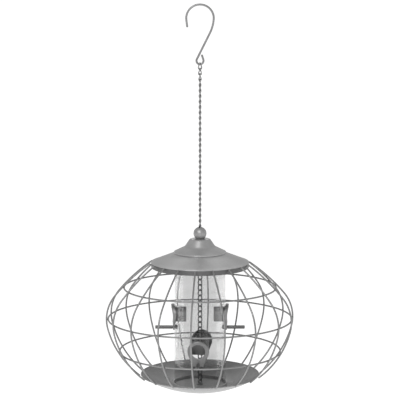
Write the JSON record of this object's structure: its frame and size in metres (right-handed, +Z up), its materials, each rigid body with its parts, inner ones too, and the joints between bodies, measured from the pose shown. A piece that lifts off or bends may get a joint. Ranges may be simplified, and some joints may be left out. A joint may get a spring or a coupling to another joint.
{
  "type": "hanging caged seed feeder",
  "caption": "Hanging tube seed feeder with a wire cage that lets small birds in, a dished tray, perches at its ports, and a lid and bead that slide on its chain.",
  "frame": {"origin": "inside top of the hook's bend, where it rests on what the feeder hangs from", "axes": "+Z up along the chain and the seed tube; +X to the right with the hook's wire in the XZ plane; -Y is the front"},
  "size_m": [0.2746, 0.2742, 0.5649],
  "materials": {
    "hook_steel": "satin grey wire",
    "chain_steel": "dull plated",
    "anchor_steel": "plated",
    "foot_plastic": "satin",
    "tray_enamel": "glossy grey paint",
    "tube_plastic": "clear, glossy",
    "port_metal": "hammered grey paint",
    "perch_metal": "satin grey paint",
    "cage_wire": "satin grey wire",
    "collar_paint": "satin dark grey paint",
    "guide_paint": "satin grey paint",
    "lid_paint": "satin grey paint",
    "bead_steel": "satin"
  },
  "bodies": {
    "hook": {"hook": "hook_steel"},
    "link_1": {"chain_link_1": "chain_steel"},
    "feeder": {"chain_link_2": "chain_steel", "chain_link_3": "chain_steel", "chain_link_4": "chain_steel", "chain_outside": "chain_steel", "chain_in_tube": "chain_steel", "chain_anchor": "anchor_steel", "base_washer": "anchor_steel", "base_nut": "anchor_steel", "tube_foot": "foot_plastic", "tray": "tray_enamel", "seed_tube": "tube_plastic", "port_upper_right": "port_metal", "perch_upper_right": "perch_metal", "perch_nut_upper_right": "anchor_steel", "port_upper_left": "port_metal", "perch_upper_left": "perch_metal", "perch_nut_upper_left": "anchor_steel", "port_lower_front": "port_metal", "perch_lower_front": "perch_metal", "perch_nut_lower_front": "anchor_steel", "port_lower_back": "port_metal", "perch_lower_back": "perch_metal", "perch_nut_lower_back": "anchor_steel", "cage_ribs": "cage_wire", "cage_ring_upper": "cage_wire", "cage_ring_middle": "cage_wire", "cage_ring_lower": "cage_wire", "cage_collar": "collar_paint", "tube_guide": "guide_paint"},
    "lid": {"lid_cone": "lid_paint", "lid_cap": "lid_paint"},
    "bead": {"bead": "bead_steel"}
  },
  "joints": [
    {"name": "hook_to_link_1", "type": "hinge", "parent": "hook", "child": "link_1", "pos_m": [0, 0, -0.0835], "axis": [1, 0, 0], "range_deg": [-30, 30]},
    {"name": "link_1_to_feeder", "type": "hinge", "parent": "link_1", "child": "feeder", "pos_m": [0, 0, -0.08902], "axis": [-0.2588, 0.9659, 0], "range_deg": [-30, 30]},
    {"name": "lid_slide", "type": "slide", "parent": "feeder", "child": "lid", "axis": [0, 0, 1], "range_m": [0, 0.15]},
    {"name": "bead_slide", "type": "slide", "parent": "lid", "child": "bead", "axis": [0, 0, 1], "range_m": [0, 0.05]}
  ]
}
